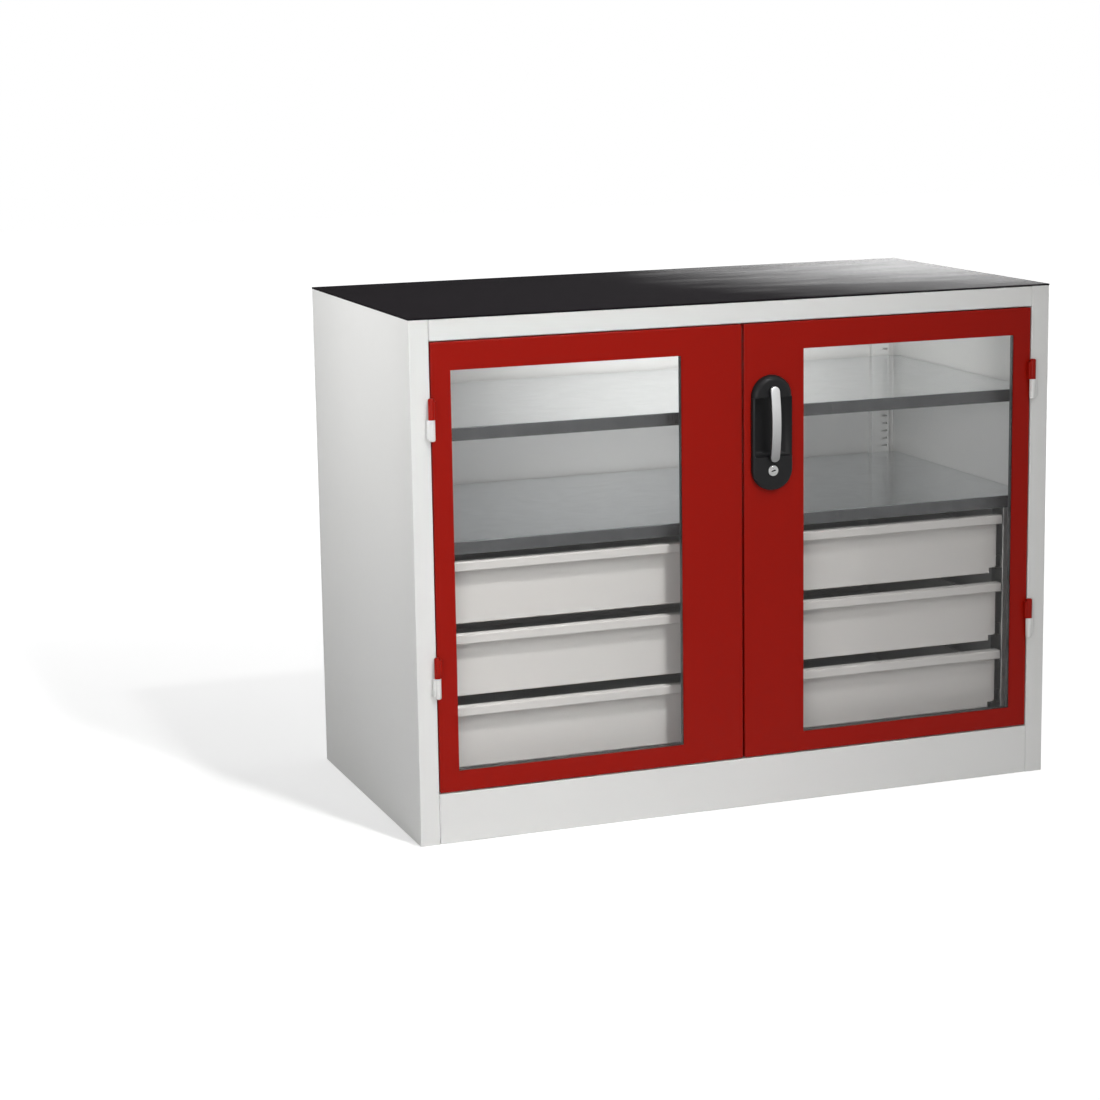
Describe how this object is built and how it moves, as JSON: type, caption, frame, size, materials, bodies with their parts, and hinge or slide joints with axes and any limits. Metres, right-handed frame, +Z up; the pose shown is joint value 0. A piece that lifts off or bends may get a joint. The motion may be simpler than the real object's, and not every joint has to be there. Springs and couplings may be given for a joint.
{
  "type": "tool cabinet",
  "caption": "Steel tool cabinet with hinged glazed doors, a lever handle with locking rods, adjustable shelves, drawers on roller runners and a ribbed rubber mat on top.",
  "frame": {"origin": "on the floor, under the middle of the overall box", "axes": "+X to the right along the width, +Y to the rear, +Z up; the doors face -Y"},
  "size_m": [1.2, 0.6256, 0.9],
  "materials": {
    "painted_grey": "fine powder coat, light grey",
    "mat_rubber": "matt, finely ribbed",
    "buffer_rubber": "matt",
    "galvanised": "galvanised, faint spangle",
    "steel_pins": "bright zinc",
    "painted_red": "smooth powder coat, red",
    "clear_pane": "clear, glossy",
    "black_shell": "satin moulded",
    "satin_bar": "satin silver",
    "lock_metal": "satin nickel",
    "drawer_paint": "fine powder coat, grey",
    "nylon": "natural white"
  },
  "bodies": {
    "carcass": {"left_side_panel": "painted_grey", "right_side_panel": "painted_grey", "back_panel": "painted_grey", "floor_panel": "painted_grey", "top_panel": "painted_grey", "plinth_panel": "painted_grey", "rubber_mat": "mat_rubber", "left_slot_strips": "painted_grey", "right_slot_strips": "painted_grey", "upper_shelf": "galvanised", "lower_shelf": "galvanised", "upper_shelf_clips": "galvanised", "lower_shelf_clips": "galvanised", "left_runner_posts": "galvanised", "right_runner_posts": "galvanised", "cabinet_rails_top": "galvanised", "cabinet_rails_middle": "galvanised", "cabinet_rails_bottom": "galvanised", "front_axles": "steel_pins", "frame_knuckles": "painted_grey", "hinge_pins": "steel_pins", "rod_keepers": "galvanised", "door_buffers": "buffer_rubber"},
    "left_door": {"left_door_panel": "painted_red", "left_pane": "clear_pane", "left_pane_retainer": "galvanised", "left_door_knuckles": "painted_red", "left_door_stiffener": "galvanised"},
    "right_door": {"right_door_panel": "painted_red", "right_pane": "clear_pane", "right_pane_retainer": "galvanised", "right_door_knuckles": "painted_red", "handle_shell": "black_shell", "lock_case": "galvanised", "rod_guides": "galvanised", "lock_barrel": "lock_metal", "handle_screws": "steel_pins"},
    "lever": {"lever_bar": "satin_bar", "lever_spindle": "steel_pins", "drive_cam": "steel_pins"},
    "upper_rod": {"upper_rod": "galvanised"},
    "lower_rod": {"lower_rod": "galvanised"},
    "key_plug": {"lock_plug": "lock_metal", "lock_tongue": "steel_pins"},
    "top_drawer": {"drawer_top": "drawer_paint", "drawer_rails_top": "galvanised", "rear_axles_top": "steel_pins"},
    "top_front_rollers": {"front_rollers_top": "nylon"},
    "top_rear_rollers": {"rear_rollers_top": "nylon"},
    "middle_drawer": {"drawer_middle": "drawer_paint", "drawer_rails_middle": "galvanised", "rear_axles_middle": "steel_pins"},
    "middle_front_rollers": {"front_rollers_middle": "nylon"},
    "middle_rear_rollers": {"rear_rollers_middle": "nylon"},
    "bottom_drawer": {"drawer_bottom": "drawer_paint", "drawer_rails_bottom": "galvanised", "rear_axles_bottom": "steel_pins"},
    "bottom_front_rollers": {"front_rollers_bottom": "nylon"},
    "bottom_rear_rollers": {"rear_rollers_bottom": "nylon"}
  },
  "joints": [
    {"name": "right_door_swing", "type": "hinge", "parent": "carcass", "child": "right_door", "pos_m": [0.565, -0.2932, 0.5], "axis": [0, 0, 1], "range_deg": [0, 180]},
    {"name": "left_door_swing", "type": "hinge", "parent": "carcass", "child": "left_door", "pos_m": [-0.565, -0.2932, 0.5], "axis": [0, 0, -1], "range_deg": [0, 180]},
    {"name": "lever_turn", "type": "hinge", "parent": "right_door", "child": "lever", "pos_m": [0.0525, -0.2872, 0.74175], "axis": [0, -1, 0], "range_deg": [0, 90]},
    {"name": "upper_rod_slide", "type": "slide", "parent": "right_door", "child": "upper_rod", "axis": [0, 0, -1], "range_m": [0, 0.0151]},
    {"name": "lower_rod_slide", "type": "slide", "parent": "right_door", "child": "lower_rod", "axis": [0, 0, 1], "range_m": [0, 0.0151]},
    {"name": "key_turn", "type": "hinge", "parent": "right_door", "child": "key_plug", "pos_m": [0.0525, -0.2872, 0.602], "axis": [0, -1, 0], "range_deg": [0, 90]},
    {"name": "top_drawer_slide", "type": "slide", "parent": "carcass", "child": "top_drawer", "axis": [0, -1, 0], "range_m": [0, 0.15]},
    {"name": "top_front_rollers_spin", "type": "hinge", "parent": "carcass", "child": "top_front_rollers", "pos_m": [0, -0.2032, 0.3855], "axis": [1, 0, 0], "range_deg": [0, 870]},
    {"name": "top_rear_rollers_spin", "type": "hinge", "parent": "top_drawer", "child": "top_rear_rollers", "pos_m": [0, 0.2348, 0.3855], "axis": [1, 0, 0], "range_deg": [0, 870]},
    {"name": "middle_drawer_slide", "type": "slide", "parent": "carcass", "child": "middle_drawer", "axis": [0, -1, 0], "range_m": [0, 0.15]},
    {"name": "middle_front_rollers_spin", "type": "hinge", "parent": "carcass", "child": "middle_front_rollers", "pos_m": [0, -0.2032, 0.259], "axis": [1, 0, 0], "range_deg": [0, 870]},
    {"name": "middle_rear_rollers_spin", "type": "hinge", "parent": "middle_drawer", "child": "middle_rear_rollers", "pos_m": [0, 0.2348, 0.259], "axis": [1, 0, 0], "range_deg": [0, 870]},
    {"name": "bottom_drawer_slide", "type": "slide", "parent": "carcass", "child": "bottom_drawer", "axis": [0, -1, 0], "range_m": [0, 0.15]},
    {"name": "bottom_front_rollers_spin", "type": "hinge", "parent": "carcass", "child": "bottom_front_rollers", "pos_m": [0, -0.2032, 0.1325], "axis": [1, 0, 0], "range_deg": [0, 870]},
    {"name": "bottom_rear_rollers_spin", "type": "hinge", "parent": "bottom_drawer", "child": "bottom_rear_rollers", "pos_m": [0, 0.2348, 0.1325], "axis": [1, 0, 0], "range_deg": [0, 870]}
  ],
  "couplings": [
    {"joint": "left_door_swing", "follows": "right_door_swing", "ratio": 1},
    {"joint": "upper_rod_slide", "follows": "lever_turn", "m_per_rad": 0.00954},
    {"joint": "lower_rod_slide", "follows": "lever_turn", "m_per_rad": 0.00954},
    {"joint": "top_drawer_slide", "follows": "right_door_swing", "m_per_rad": 0.0477},
    {"joint": "top_front_rollers_spin", "follows": "right_door_swing", "ratio": 4.77},
    {"joint": "top_rear_rollers_spin", "follows": "right_door_swing", "ratio": 4.77},
    {"joint": "middle_drawer_slide", "follows": "right_door_swing", "m_per_rad": 0.0477},
    {"joint": "middle_front_rollers_spin", "follows": "right_door_swing", "ratio": 4.77},
    {"joint": "middle_rear_rollers_spin", "follows": "right_door_swing", "ratio": 4.77},
    {"joint": "bottom_drawer_slide", "follows": "right_door_swing", "m_per_rad": 0.0477},
    {"joint": "bottom_front_rollers_spin", "follows": "right_door_swing", "ratio": 4.77},
    {"joint": "bottom_rear_rollers_spin", "follows": "right_door_swing", "ratio": 4.77}
  ]
}
